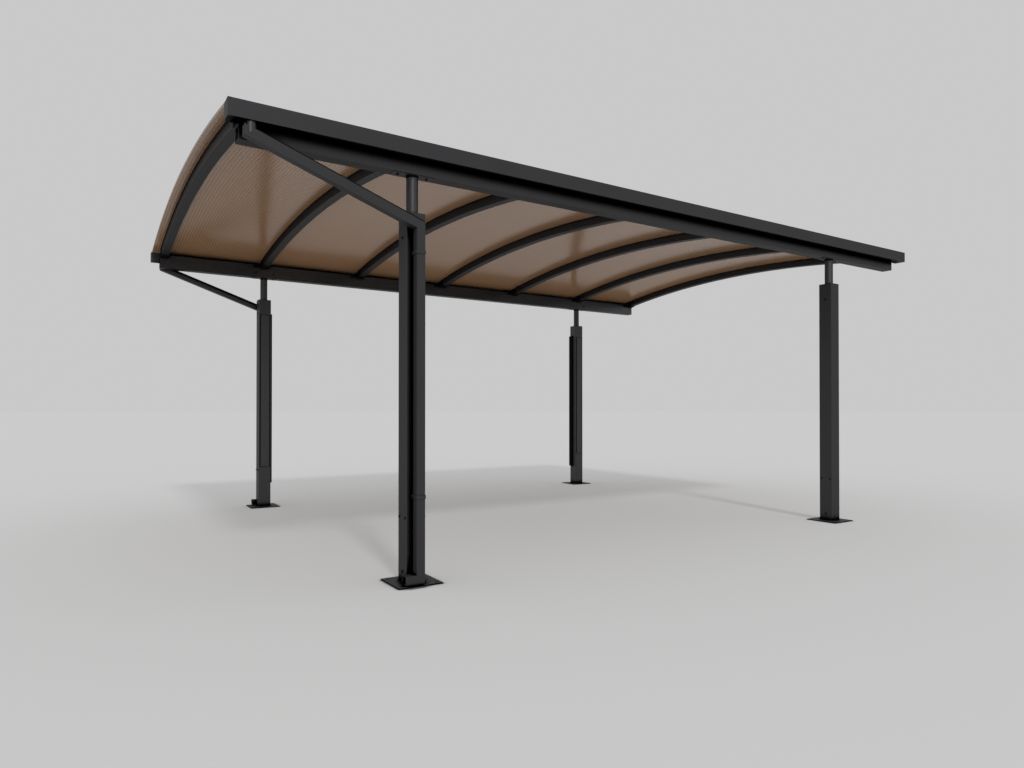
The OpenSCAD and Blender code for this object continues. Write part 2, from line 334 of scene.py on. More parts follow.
def newGroup(name, inputs, outputs):
    group = bpy.data.node_groups.new(name, "ShaderNodeTree")
    for label, kind, value in inputs:
        socket = group.interface.new_socket(name=label, in_out="INPUT", socket_type=kind)
        socket.default_value = value
    for label, kind in outputs:
        group.interface.new_socket(name=label, in_out="OUTPUT", socket_type=kind)
    return group, group.nodes.new("NodeGroupInput"), group.nodes.new("NodeGroupOutput")


def makeGrainGroup():
    group, src, out = newGroup(
        "coatGrain",
        [("Size", "NodeSocketFloat", 900.0), ("Blotch", "NodeSocketFloat", 3.0)],
        [("Grain", "NodeSocketFloat"), ("Blotches", "NodeSocketFloat")])
    n, link = group.nodes, group.links
    coord = n.new("ShaderNodeTexCoord")
    grain = n.new("ShaderNodeTexNoise")
    blotch = n.new("ShaderNodeTexNoise")
    grain.inputs["Detail"].default_value = effects["grainDetail"]
    blotch.inputs["Detail"].default_value = effects["blotchDetail"]
    blotch.inputs["Roughness"].default_value = effects["blotchRough"]
    link.new(coord.outputs["Object"], grain.inputs["Vector"])
    link.new(coord.outputs["Object"], blotch.inputs["Vector"])
    link.new(src.outputs["Size"], grain.inputs["Scale"])
    link.new(src.outputs["Blotch"], blotch.inputs["Scale"])
    link.new(grain.outputs["Fac"], out.inputs["Grain"])
    link.new(blotch.outputs["Fac"], out.inputs["Blotches"])
    return group


def makeDustGroup():
    # dust lies on what faces up, thicker where the noise says so
    group, src, out = newGroup(
        "settledDust",
        [("Amount", "NodeSocketFloat", 0.5), ("Patch Size", "NodeSocketFloat", 9.0)],
        [("Mask", "NodeSocketFloat")])
    n, link = group.nodes, group.links
    geo = n.new("ShaderNodeNewGeometry")
    split = n.new("ShaderNodeSeparateXYZ")
    up = mapRange(group, *effects["dustSlope"])
    coord = n.new("ShaderNodeTexCoord")
    noise = n.new("ShaderNodeTexNoise")
    noise.inputs["Detail"].default_value = effects["dustDetail"]
    lift = mapRange(group, *effects["dustPatches"], toLow=effects["dustLeast"])
    both = maths(group, "MULTIPLY")
    scaled = maths(group, "MULTIPLY", clamp=True)
    link.new(geo.outputs["Normal"], split.inputs[0])
    link.new(split.outputs["Z"], up.inputs["Value"])
    link.new(coord.outputs["Object"], noise.inputs["Vector"])
    link.new(src.outputs["Patch Size"], noise.inputs["Scale"])
    link.new(noise.outputs["Fac"], lift.inputs["Value"])
    link.new(up.outputs[0], both.inputs[0])
    link.new(lift.outputs[0], both.inputs[1])
    link.new(both.outputs[0], scaled.inputs[0])
    link.new(src.outputs["Amount"], scaled.inputs[1])
    link.new(scaled.outputs[0], out.inputs["Mask"])
    return group


def makeEdgeWearHighlightGroup():
    # finds sharp edges by comparing the rounded normal with the true one; the coat lightens
    # there, as worn paint and as a painted highlight where a rounded edge would catch the light
    group, src, out = newGroup(
        "edgeWearHighlight",
        [("Radius", "NodeSocketFloat", 0.002), ("Amount", "NodeSocketFloat", 0.5)],
        [("Mask", "NodeSocketFloat")])
    n, link = group.nodes, group.links
    bevel = n.new("ShaderNodeBevel")
    bevel.samples = effects["wearHighlightSamples"]
    geo = n.new("ShaderNodeNewGeometry")
    dot = n.new("ShaderNodeVectorMath")
    dot.operation = "DOT_PRODUCT"
    edge = mapRange(group, *effects["wearHighlightSharp"])
    coord = n.new("ShaderNodeTexCoord")
    noise = n.new("ShaderNodeTexNoise")
    noise.inputs["Scale"].default_value = effects["wearHighlightScale"]
    noise.inputs["Detail"].default_value = effects["wearHighlightDetail"]
    breakup = mapRange(group, *effects["wearHighlightPatches"])
    both = maths(group, "MULTIPLY")
    scaled = maths(group, "MULTIPLY", clamp=True)
    link.new(src.outputs["Radius"], bevel.inputs["Radius"])
    link.new(bevel.outputs["Normal"], dot.inputs[0])
    link.new(geo.outputs["True Normal"], dot.inputs[1])
    link.new(dot.outputs["Value"], edge.inputs["Value"])
    link.new(coord.outputs["Object"], noise.inputs["Vector"])
    link.new(noise.outputs["Fac"], breakup.inputs["Value"])
    link.new(edge.outputs[0], both.inputs[0])
    link.new(breakup.outputs[0], both.inputs[1])
    link.new(both.outputs[0], scaled.inputs[0])
    link.new(src.outputs["Amount"], scaled.inputs[1])
    link.new(scaled.outputs[0], out.inputs["Mask"])
    return group


def makePaintedShadeGroup():
    # painted shade from ambient occlusion: 0 deep in a corner, 1 in the open; faces that look
    # up more than Highest Face stay 1
    group, src, out = newGroup(
        "paintedCornerShade",
        [("Reach", "NodeSocketFloat", 0.1), ("Dark At", "NodeSocketFloat", 0.66),
         ("Clear At", "NodeSocketFloat", 0.80), ("Highest Face", "NodeSocketFloat", 0.5),
         ("Underside", "NodeSocketFloat", 0.0)],
        [("Open", "NodeSocketFloat")])
    n, link = group.nodes, group.links
    paintedShadeNode = n.new("ShaderNodeAmbientOcclusion")
    paintedShadeNode.samples = effects["paintedShadeSamples"]
    steep = n.new("ShaderNodeMapRange")
    steep.interpolation_type = "SMOOTHSTEP"
    geo = n.new("ShaderNodeNewGeometry")
    split = n.new("ShaderNodeSeparateXYZ")
    upward = maths(group, "GREATER_THAN")
    either = maths(group, "MAXIMUM")
    # faces that look down get painted shade, as strong as the underside input says
    below = mapRange(group, *effects["undersideShadeTilt"])     # 1 on a face that looks down
    lessen = maths(group, "MULTIPLY")
    keep = maths(group, "SUBTRACT")
    keep.inputs[0].default_value = 1.0
    both = maths(group, "MULTIPLY")
    link.new(src.outputs["Reach"], paintedShadeNode.inputs["Distance"])
    link.new(paintedShadeNode.outputs["AO"], steep.inputs["Value"])
    link.new(src.outputs["Dark At"], steep.inputs["From Min"])
    link.new(src.outputs["Clear At"], steep.inputs["From Max"])
    link.new(geo.outputs["True Normal"], split.inputs[0])
    link.new(split.outputs["Z"], upward.inputs[0])
    link.new(src.outputs["Highest Face"], upward.inputs[1])
    link.new(steep.outputs[0], either.inputs[0])
    link.new(upward.outputs[0], either.inputs[1])
    link.new(split.outputs["Z"], below.inputs["Value"])
    link.new(below.outputs[0], lessen.inputs[0])
    link.new(src.outputs["Underside"], lessen.inputs[1])
    link.new(lessen.outputs[0], keep.inputs[1])
    link.new(either.outputs[0], both.inputs[0])
    link.new(keep.outputs[0], both.inputs[1])
    link.new(both.outputs[0], out.inputs["Open"])
    return group


groups = {"grain": makeGrainGroup(), "dust": makeDustGroup(), "wearHighlight": makeEdgeWearHighlightGroup(),
          "paintedShade": makePaintedShadeGroup()}
anyFace = 2.0         # no face looks up as much as this, so the crevice shade reaches all

# what the grey powder coats share
powder = {"wornAndHighlight": (0.10, 0.10, 0.105), "rough": (0.34, 0.44), "grain": 700.0, "bump": 0.00006,
          "dust": 0.30, "wearHighlight": 0.4, "metal": 0.6, "specular": 0.5}
coats = {
    "frame": {**powder, "dark": (0.046, 0.046, 0.0485), "light": (0.056, 0.056, 0.059)},
    # the near beams' coat is a lighter copy of the frame coat: painted light that makes up for
    # the gutters' shade on their outer faces
    "beam": {**powder, "dark": (0.062, 0.062, 0.065), "light": (0.072, 0.072, 0.075)},
    # a lighter copy of the frame coat for the far posts and pipes: painted light that makes up
    # for the roof's shade on them
    "farPostPaintedLight": {**powder, "dark": (0.065, 0.065, 0.068), "light": (0.075, 0.075, 0.078)},
    "farBeam": {**powder, "dark": (0.076, 0.081, 0.087), "light": (0.085, 0.090, 0.096),
                "rough": (0.23, 0.29), "metal": 0.9},
    # the rail covers' coat is lighter than the frame coat: most of the step is painted light
    # for the roof's shade on the far posts' faces, where the covers show
    "railCover": {**powder, "dark": (0.070, 0.070, 0.073), "light": (0.082, 0.082, 0.086),
                  "wornAndHighlight": (0.11, 0.11, 0.115)},
    "stubSteel": {**powder, "dark": (0.080, 0.080, 0.083), "light": (0.086, 0.086, 0.090),
                  "wornAndHighlight": (0.12, 0.12, 0.12), "rough": (0.38, 0.42), "bump": 0.00004,
                  "dust": 0.20, "wearHighlight": 0.0, "metal": 0.9, "specular": 0.3, "brushed": 0.6},
    "footPlate": {"dark": (0.060, 0.060, 0.0615), "light": (0.070, 0.070, 0.0715),
                  "wornAndHighlight": (0.07, 0.068, 0.065), "rough": (0.40, 0.58), "grain": 500.0,
                  "bump": 0.0001, "dust": 0.10, "wearHighlight": 0.6, "metal": 0.5, "specular": 0.3},
    "rubber": {"dark": (0.006, 0.006, 0.0065), "light": (0.010, 0.010, 0.010),
               "wornAndHighlight": (0.02, 0.02, 0.02), "rough": (0.62, 0.80), "grain": 1400.0,
               "bump": 0.0001, "dust": 0.35, "wearHighlight": 0.3, "metal": 0.0, "specular": 0.35},
    "blackRubber": {"dark": (0.0015, 0.0015, 0.0016), "light": (0.003, 0.003, 0.003),
                    "wornAndHighlight": (0.01, 0.01, 0.01), "rough": (0.75, 0.90), "grain": 1400.0,
                    "bump": 0.0001, "dust": 0.20, "wearHighlight": 0.2, "metal": 0.0, "specular": 0.1},
    "darkScrew": {"dark": (0.003, 0.003, 0.0033), "light": (0.006, 0.006, 0.0063),
                  "wornAndHighlight": (0.06, 0.06, 0.06), "rough": (0.50, 0.65), "grain": 900.0,
                  "bump": 0.00003, "dust": 0.1, "wearHighlight": 0.2, "metal": 0.0, "specular": 0.15},
    "screw": {"dark": (0.020, 0.020, 0.022), "light": (0.032, 0.032, 0.034),
              "wornAndHighlight": (0.20, 0.20, 0.20), "rough": (0.28, 0.42), "grain": 900.0,
              "bump": 0.00003, "dust": 0.2, "wearHighlight": 0.7, "metal": 1.0, "specular": 0.5},
}
# a coat with painted shade in its corners, and on its undersides as much as the last number
# says: (reach, dark at, clear at, highest face, underside)
paintedShadeFor = {
    "post": ("frame", (0.10, 0.60, 0.76, 0.5, 0.0)),
    "backPost": ("farPostPaintedLight", (0.10, 0.60, 0.76, 0.5, 0.0)),
    "beam": ("beam", (0.062, 0.47, 0.86, 0.5, 0.22)),
    "backBeam": ("farBeam", (0.062, 0.47, 0.86, 0.5, 0.1)),
    "stub": ("stubSteel", (0.02, 0.56, 0.90, 0.5, 0.0)),
    "pipe": ("frame", (0.025, 0.55, 0.80, 0.5, 0.0)),
    "backPipe": ("farPostPaintedLight", (0.025, 0.55, 0.80, 0.5, 0.0)),
    "outfall": ("frame", (0.04, 0.55, 0.85, anyFace, 0.0)),
    "rib": ("frame", (0.15, 0.05, 0.86, 0.5, 0.16)),
    "saddle": ("frame", (0.006, 0.60, 0.95, 0.5, 0.0)),
    "gutter": ("frame", (0.10, 0.88, 1.00, -0.5, 0.0)),
    "footPlate": ("footPlate", (0.08, 0.50, 0.80, anyFace, 0.0)),
    "footWeld": ("footPlate", (0.05, 0.70, 0.98, anyFace, 0.0)),
    "outlet": ("stubSteel", (0.025, 0.55, 0.80, 0.5, 0.0)),
}
dustColour = (0.17, 0.16, 0.145)
shadeColour = (0.0006, 0.0006, 0.0006)
coatLook = {"blotch": 2.6, "wearHighlightRadius": 0.002, "dustyRough": 0.4, "rim": 0.3, "bump": 0.6,
            "brushTurn": 0.25}


def makeCoat(name, like, paintedShade):
    c = coats[like]
    mat, tree, skin = newMaterial(name + "Coat")
    grain = place(tree, "grain", Size=c["grain"], Blotch=coatLook["blotch"])
    dust = place(tree, "dust", Amount=c["dust"])
    wearHighlight = place(tree, "wearHighlight", Radius=coatLook["wearHighlightRadius"], Amount=c["wearHighlight"])
    tone = mixColour(tree, grain.outputs["Blotches"], c["dark"], c["light"])
    # sharp edges lighten: worn paint, and a painted highlight where a rounded edge would catch
    # the light
    tone = mixColour(tree, wearHighlight.outputs["Mask"], tone, c["wornAndHighlight"])
    tone = mixColour(tree, dust.outputs["Mask"], tone, dustColour)
    # painted shade: the coat's colour darkens to shadeColour in corners, and on undersides
    if paintedShade:
        reach, dark, clear, highest, underside = paintedShade
        paintedShadeNode = place(tree, "paintedShade", Reach=reach, Dark_At=dark, Clear_At=clear,
                     Highest_Face=highest, Underside=underside)
        tone = mixColour(tree, paintedShadeNode.outputs["Open"], shadeColour, tone)
    tree.links.new(tone, skin.inputs["Base Color"])
    rough = spread(tree, grain.outputs["Blotches"], *c["rough"])
    dusty = maths(tree, "MULTIPLY_ADD")
    dusty.inputs[1].default_value = coatLook["dustyRough"]
    tree.links.new(dust.outputs["Mask"], dusty.inputs[0])
    tree.links.new(rough, dusty.inputs[2])
    tree.links.new(dusty.outputs[0], skin.inputs["Roughness"])
    skin.inputs["Specular IOR Level"].default_value = c["specular"]
    skin.inputs["Metallic"].default_value = c["metal"]
    if paintedShade:                       # in the painted shade the coat turns black metal, so its reflection is painted out too
        tree.links.new(spread(tree, paintedShadeNode.outputs["Open"], 1.0, c["metal"]),
                       skin.inputs["Metallic"])
    if c["metal"]:                    # a weak rim
        skin.inputs["Specular Tint"].default_value = (coatLook["rim"],) * 3 + (1,)
    if c.get("brushed"):
        around = tree.nodes.new("ShaderNodeTangent")
        around.direction_type = "RADIAL"
        around.axis = "Z"
        skin.inputs["Anisotropic"].default_value = c["brushed"]
        skin.inputs["Anisotropic Rotation"].default_value = coatLook["brushTurn"]
        tree.links.new(around.outputs[0], skin.inputs["Tangent"])
    bumpInto(tree, skin, grain.outputs["Grain"], coatLook["bump"], c["bump"])
    return mat


sheet = {
    "cells": 43, "skin": 0.0012, "web": 0.0008, "arcSteps": 40,
    "deep": (0.370, 0.206, 0.106), "pale": (0.410, 0.234, 0.122), "line": (0.215, 0.118, 0.060),
    "lineCore": 0.0008, "lineEdge": 0.0036, "bump": 0.3, "bumpDepth": 0.0003,
    "rough": (0.16, 0.21), "ior": 1.265, "grain": 260.0, "blotch": 1.3,
    "dust": 0.35, "dustPatch": 4.0,
    "alpha": 0.92, "alphaSlant": 0.80, "slantBlend": 0.5, "slantFrom": 0.50, "slantTo": 0.80,
    "fadeFrom": -1.95, "fadeTo": -1.45, "faded": 0.20,
}


def makeSheetFinish():
    mat, tree, skin = newMaterial("bronzeSheet")
    n, link = tree.nodes, tree.links
    grain = place(tree, "grain", Size=sheet["grain"], Blotch=sheet["blotch"])
    dust = place(tree, "dust", Amount=sheet["dust"], Patch_Size=sheet["dustPatch"])
    coord = n.new("ShaderNodeTexCoord")
    split = n.new("ShaderNodeSeparateXYZ")
    wave = maths(tree, "PINGPONG")        # distance to the nearest web, 0 at the web
    wave.inputs[1].default_value = panelPitch / sheet["cells"] / 2
    line = mapRange(tree, sheet["lineCore"], sheet["lineEdge"], 1.0, 0.0)
    link.new(coord.outputs["Object"], split.inputs[0])
    link.new(split.outputs["X"], wave.inputs[0])
    link.new(wave.outputs[0], line.inputs["Value"])
    # from below the webs show best in the first bay, from above in all of them
    fade = mapRange(tree, sheet["fadeFrom"], sheet["fadeTo"], 1.0, sheet["faded"])
    geo = n.new("ShaderNodeNewGeometry")
    facing = n.new("ShaderNodeSeparateXYZ")
    either = maths(tree, "MAXIMUM", clamp=True)
    shown = maths(tree, "MULTIPLY")
    link.new(geo.outputs["True Normal"], facing.inputs[0])
    link.new(split.outputs["X"], fade.inputs["Value"])
    link.new(fade.outputs[0], either.inputs[0])
    link.new(facing.outputs["Z"], either.inputs[1])
    link.new(either.outputs[0], shown.inputs[0])
    link.new(line.outputs[0], shown.inputs[1])
    tone = mixColour(tree, grain.outputs["Blotches"], sheet["deep"], sheet["pale"])
    tone = mixColour(tree, shown.outputs[0], tone, sheet["line"])
    tone = mixColour(tree, dust.outputs["Mask"], tone, dustColour)
    link.new(tone, skin.inputs["Base Color"])
    link.new(spread(tree, grain.outputs["Blotches"], *sheet["rough"]), skin.inputs["Roughness"])
    skin.inputs["IOR"].default_value = sheet["ior"]
    # seen at a slant, more of the darker cells shows through the skin
    slant = n.new("ShaderNodeLayerWeight")
    slant.inputs["Blend"].default_value = sheet["slantBlend"]
    through = mapRange(tree, sheet["slantFrom"], sheet["slantTo"],
                       sheet["alpha"], sheet["alphaSlant"])
    link.new(slant.outputs["Facing"], through.inputs["Value"])
    link.new(through.outputs[0], skin.inputs["Alpha"])
    bumpInto(tree, skin, shown.outputs[0], sheet["bump"], sheet["bumpDepth"])
    return mat


finishes = {"sheet": makeSheetFinish()}


def finishFor(name):
    # a coat is made when the first piece asks for it
    if name not in finishes:
        like, paintedShade = paintedShadeFor.get(name, (name, None))
        finishes[name] = makeCoat(name, like, paintedShade)
    return finishes[name]


def dress(obj, finish):
    if obj.data.materials:
        for k in range(len(obj.data.materials)):
            obj.data.materials[k] = finishFor(finish)
    else:
        obj.data.materials.append(finishFor(finish))


def settle(obj, finish, *replaced):
    dress(obj, finish)
    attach(obj, "root")
    if replaced:
        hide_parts(*replaced)
    return obj


# Roof sheets, with their hollow cells

def archStations(reach):
    # angles from one end of the arch to the other
    steps = sheet["arcSteps"]
    return [-reach + 2 * reach * k / steps for k in range(steps + 1)]


def buildSheet(i):
    left = -carport["roofHalf"] if i == 0 else ribX(i) + carport["panelJoint"] / 2
    right = carport["roofHalf"] if i == bays - 1 else ribX(i + 1) - carport["panelJoint"] / 2
    low, high = panelR, panelR + carport["panelT"]
    pitch = (right - left - sheet["web"]) / sheet["cells"]
    # columns of the section: each web has two sides
    columns = []
    for c in range(sheet["cells"] + 1):
        columns += [left + c * pitch, left + c * pitch + sheet["web"]]
    rows = [low, low + sheet["skin"], high - sheet["skin"], high]
    bm = bmesh.new()
    rings = []
    for angle in archStations(math.asin(carport["panelEnd"] / high)):
        rings.append([[bm.verts.new(onArch(x, r, angle)) for r in rows] for x in columns])
    last = len(columns) - 1
    for a, b in zip(rings, rings[1:]):
        for c in range(last):
            quad(bm, a[c][0], a[c + 1][0], b[c + 1][0], b[c][0])
            quad(bm, a[c][3], b[c][3], b[c + 1][3], a[c + 1][3])
            if c % 2:                      # a hollow cell lies between two webs
                quad(bm, a[c][1], b[c][1], b[c + 1][1], a[c + 1][1])
                quad(bm, a[c][2], a[c + 1][2], b[c + 1][2], b[c][2])
                quad(bm, a[c][1], a[c][2], b[c][2], b[c][1])
                quad(bm, a[c + 1][1], b[c + 1][1], b[c + 1][2], a[c + 1][2])
        for r in range(3):
            quad(bm, a[0][r], b[0][r], b[0][r + 1], a[0][r + 1])
            quad(bm, a[last][r], a[last][r + 1], b[last][r + 1], b[last][r])
    for ring, turn in ((rings[0], 1), (rings[-1], -1)):
        for c in range(last):
            for r in range(3):
                if r == 1 and c % 2:       # the cells stay open at their ends
                    continue
                face = (ring[c][r], ring[c][r + 1], ring[c + 1][r + 1], ring[c + 1][r])
                quad(bm, *face[::turn])
    settle(bmToObject(bm, "sheet_%d" % (i + 1)), "sheet", "panel_%d" % (i + 1))


# Caps that press the sheets onto the ribs, with a screw groove

caps = {
    "base": 0.0008, "lip": 0.0014, "round": 0.0008, "roundTop": 0.0030,
    "crown": 0.0080, "crownEdge": 0.0050, "crownDrop": 0.0002,
    "groove": 0.0075, "grooveDepth": 0.0018, "grooveSlope": 0.0012,
    "foot": (0.0205, 0.0265), "footSlope": 0.0005,
    "screwGap": 0.40, "screwR": 0.0050, "screwH": 0.0015,
    # (share of the radius, share of the height), with a hexagon socket
    "screw": [(1, 0), (1, 0.5), (0.85, 1), (-0.42, 1), (-0.42, 0.3)],
}


def buildCaps():
    half, top = carport["capW"] / 2, carport["capT"]
    side = [(half, caps["base"]), (half, caps["lip"]), (half - caps["round"], caps["roundTop"]),
            (half - caps["crownEdge"], top - caps["crownDrop"]), (half - caps["crown"], top),
            (caps["groove"] + caps["grooveSlope"], top),
            (caps["groove"], top - caps["grooveDepth"])]
    near, far = caps["foot"]
    foot = [(near, caps["base"]), (near + caps["footSlope"], 0.0),
            (far - caps["footSlope"], 0.0), (far, caps["base"])]
    outline = side + mirrored(side) + mirrored(foot) + foot
    low = panelR + carport["panelT"] + carport["seat"]
    reach = math.asin(carport["panelEnd"] / (low + top))
    bm = bmesh.new()
    for i in range(carport["ribs"]):
        sweep(bm, outline, archStations(reach),
              lambda p, s: onArch(ribX(i) + p[0], low + p[1], s))
    settle(bmToObject(bm, "pressure_caps"), "frame", "cover_strips")

    bm = bmesh.new()
    count = round(2 * reach * low / caps["screwGap"])
    seatR = low + top - caps["grooveDepth"]
    head = [(r * caps["screwR"], h * caps["screwH"]) for r, h in caps["screw"]]
    for i in range(carport["ribs"]):
        for k in range(count):
            angle = -reach + 2 * reach * (k + 0.5) / count
            turned(bm, onArch(ribX(i), seatR, angle), (0, math.sin(angle), math.cos(angle)),
                   head)
    settle(bmToObject(bm, "cap_screws"), "screw")


# Profiles that close the open cells at both ends of each sheet

endProfile = {"wall": 0.0010, "low": 0.022, "lowIn": 0.018, "gap": 0.0015,
              "clear": 0.0001, "drip": 0.002, "dripTop": 0.001}


def buildEndProfiles():
    wall, clear = endProfile["wall"], endProfile["clear"]
    low, high = panelR, panelR + carport["panelT"]
    end = math.asin(carport["panelEnd"] / high) * high
    deep, shallow = end - endProfile["low"], end - endProfile["lowIn"]
    drip = low - wall - endProfile["drip"]
    # (distance along the arch, radius), with a drip lip at the foot
    outline = [(deep, low - wall), (end + wall, low - wall), (end + wall * 2, drip),
               (end + wall * 3, drip), (end + wall, low + endProfile["dripTop"]),
               (end + wall, high + wall), (shallow, high + wall), (shallow, high),
               (end + clear, high), (end + clear, low), (deep, low)]
    inset = carport["capW"] / 2 + endProfile["gap"]
    bm = bmesh.new()
    for side in (-1, 1):
        for i in range(bays):
            sweep(bm, outline, (ribX(i) + inset, ribX(i + 1) - inset),
                  lambda p, s: onArch(s, p[1], side * p[0] / high))
    settle(bmToObject(bm, "sheet_end_profiles"), "frame")


# Black ribbed closures between the beams' tops and the sheets

closure = {
    "thick": 0.012, "out": 0.066, "foot": 0.0004, "clear": 0.0012, "sideGap": 0.0055,
    "ridges": 3,
    # (share of the ridge, drop)
    "ridge": [(0.1, 0.003), (0.35, 0.0), (0.65, 0.0), (0.9, 0.003)],
}


def archHeight(radius, y):
    return archZ + math.sqrt(radius * radius - y * y)


def buildClosures():
    bm = bmesh.new()
    inner = carport["beamIn"] + closure["out"] - closure["thick"] / 2
    foot = carport["beamTop"] + closure["foot"]
    step = closure["thick"] / closure["ridges"]
    inset = carport["ribW"] / 2 + closure["sideGap"]
    outline = [(inner, foot)]
    for k in range(closure["ridges"]):
        y = inner + k * step
        top = archHeight(panelR, y + step) - closure["clear"]
        outline += [(y + step * share, top - drop) for share, drop in closure["ridge"]]
    outline += [(inner + closure["thick"], foot)]
    for side in (-1, 1):
        for i in range(bays):
            prism(bm, [(side * y, z) for y, z in outline], ribX(i) + inset, ribX(i + 1) - inset,
                  "x")
    settle(bmToObject(bm, "eave_closures"), "blackRubber")


# Seals beside the ribs, under the sheets: (out from the rib's side, up from the sheet)

seal = {"reach": 0.999,
        "section": [(0.0002, -0.0070), (0.0016, -0.0070), (0.0022, -0.0030),
                    (0.0060, -0.0006), (0.0056, -0.0001), (0.0002, -0.0001)]}


def buildRibSeals():
    bm = bmesh.new()
    half = carport["ribW"] / 2
    stations = archStations(math.asin(carport["beamIn"] / panelR) * seal["reach"])
    for i in range(carport["ribs"]):
        for way in (-1, 1):
            sweep(bm, [(way * (half + x), z) for x, z in seal["section"]], stations,
                  lambda p, s: onArch(ribX(i) + p[0], panelR + p[1], s))
    settle(bmToObject(bm, "rib_seals"), "blackRubber")


# Saddle plates that join the beams to the stubs

saddle = {
    "halfL": 0.108, "halfW": 0.034, "thick": 0.0018, "chamfer": 0.006, "bevel": 0.0008,
    "clear": 0.0006, "steps": 48, "ringW": 0.0008, "ringH": 0.011, "screwX": 0.0775,
    "screw": [(0.0085, 0), (0.0085, 0.0010), (0.0065, 0.0012), (-0.0055, 0.0012),
              (-0.0055, 0.0046), (-0.0045, 0.0056)],
}


def buildSaddles():
    bm = bmesh.new()
    rings = bmesh.new()
    screws = bmesh.new()
    hole = carport["stubR"] + saddle["clear"]
    a, b, c = saddle["halfL"], saddle["halfW"], saddle["chamfer"]
    rim = [(a, -b + c), (a, b - c), (a - c, b), (-a + c, b), (-a, b - c), (-a, -b + c),
           (-a + c, -b), (a - c, -b)]
    # the rim is walked in step with the hole, so each facet is one face
    turns = [2 * math.pi * k / saddle["steps"] for k in range(saddle["steps"])]
    outer = [Vector(onRim(rim, t)) for t in turns]
    inner = [Vector((hole * math.cos(t), hole * math.sin(t))) for t in turns]
    bevelled = [p * (1 - saddle["bevel"] / p.length) for p in outer]
    high = carport["beamBottom"] - carport["seat"]
    low = high - saddle["thick"]
    levels = [(outer, high), (outer, low + saddle["bevel"]), (bevelled, low), (inner, low),
              (inner, high)]
    # a black collar round the top of each stub: painted shade where the stub meets the saddle
    w, h = saddle["ringW"], saddle["ringH"]
    shadeCollar = [(hole, 0), (hole, -h), (hole + w * 0.6, -h), (hole + w, -h * 0.5), (hole + w, 0)]
    for sx, sy in corners:
        x0, y0 = sx * carport["postX"], sy * carport["postY"]
        loops = [[bm.verts.new((x0 + p.x, y0 + p.y, z)) for p in pts] for pts, z in levels]
        for one, two in zip(loops, loops[1:] + loops[:1]):
            for k in range(len(one)):
                after = (k + 1) % len(one)
                quad(bm, one[k], one[after], two[after], two[k])
        tube(rings, (x0, y0, low), shadeCollar)
        for way in (-1, 1):
            turned(screws, (x0 + way * saddle["screwX"], y0, low), (0, 0, -1), saddle["screw"])
    settle(bmToObject(bm, "stub_saddles"), "saddle")
    settle(bmToObject(rings, "stub_top_shade_rings"), "blackRubber")
    settle(bmToObject(screws, "saddle_screws"), "darkScrew")


# Black pieces round the rib feet, where the ribs leave the beams: they paint the shade and dark
# reflection there

ribFootShade = {
    "clear": 0.0012, "side": 0.0090, "thick": 0.0084, "low": 0.0222, "foot": 0.0030,
    "up": 0.010, "off": 0.0004, "round": 0.002, "barRound": 0.001,
    "tab": 0.056, "tabT": 0.003, "tabGap": 0.0002, "tabTop": 0.001,
    "sleeve": 0.050, "sleeveT": 0.0035, "sleeveUp": 0.048, "sleeveSide": 0.0004,
    "sleeveGap": 0.0003,
}


def buildRibFootShade():
    bm = bmesh.new()
    half = carport["ribW"] / 2
    near, wide = half + ribFootShade["clear"], half + ribFootShade["clear"] + ribFootShade["side"]
    face = carport["beamIn"] - ribFootShade["off"]
    front = face - ribFootShade["thick"]
    low, high = carport["beamTop"] - ribFootShade["low"], carport["beamTop"] + ribFootShade["up"]
    z = low - ribFootShade["foot"]
    r, e = ribFootShade["round"], ribFootShade["barRound"]
    bar = [(face, low), (face, z), (front + e, z), (front, z + e), (front, low)]
    # a sleeve round the rib's sides and underside
    w, t, gap = half + ribFootShade["sleeveSide"], ribFootShade["sleeveT"], ribFootShade["sleeveGap"]
    outside = [(-w - t, ribFootShade["sleeveUp"]), (-w - t, -t)]
    inside = [(-w, -gap), (-w, ribFootShade["sleeveUp"])]
    sleeve = outside + mirrored(outside) + mirrored(inside) + inside
    start = math.asin((front - ribFootShade["sleeve"]) / carport["ribLowR"])
    end = math.asin((front - gap) / carport["ribLowR"])
    for side in (-1, 1):
        for i in range(carport["ribs"]):
            x0 = ribX(i)
            for way in (-1, 1):
                a, b = x0 + way * near, x0 + way * wide
                cheek = [(a, face), (a, front), (b - way * r, front), (b, front + r), (b, face)]
                prism(bm, [(x, side * y) for x, y in cheek], low, high, "z")
            if i:                          # a flat black tab on the beam, left of the rib only: painted shade beside the rib's foot
                a, b = x0 - wide - ribFootShade["tabGap"], x0 - wide - ribFootShade["tab"]
                flat = face - ribFootShade["tabT"]
                tab = [(a, face), (a, flat), (b + r, flat), (b, flat + e), (b, face)]
                prism(bm, [(x, side * y) for x, y in tab],
                      z, carport["beamTop"] - ribFootShade["tabTop"], "z")
            prism(bm, [(side * y, h) for y, h in bar], x0 - wide, x0 + wide, "x")
            sweep(bm, sleeve, (side * start, side * end),
                  lambda p, s: onArch(x0 + p[0], carport["ribLowR"] + p[1], s))
    settle(bmToObject(bm, "rib_foot_shade"), "blackRubber")


# A black trim along the top of each sloping pipe and down its inner side

trim = {"start": (-2.492, 2.026), "slopeStart": -2.550, "slopeEnd": (-1.740, 1.738),
        "end": -1.719, "over": 0.005, "down": 0.014, "skin": 0.0015, "clear": 0.0003,
        "outerIn": 0.0005, "sideGap": 0.0002}


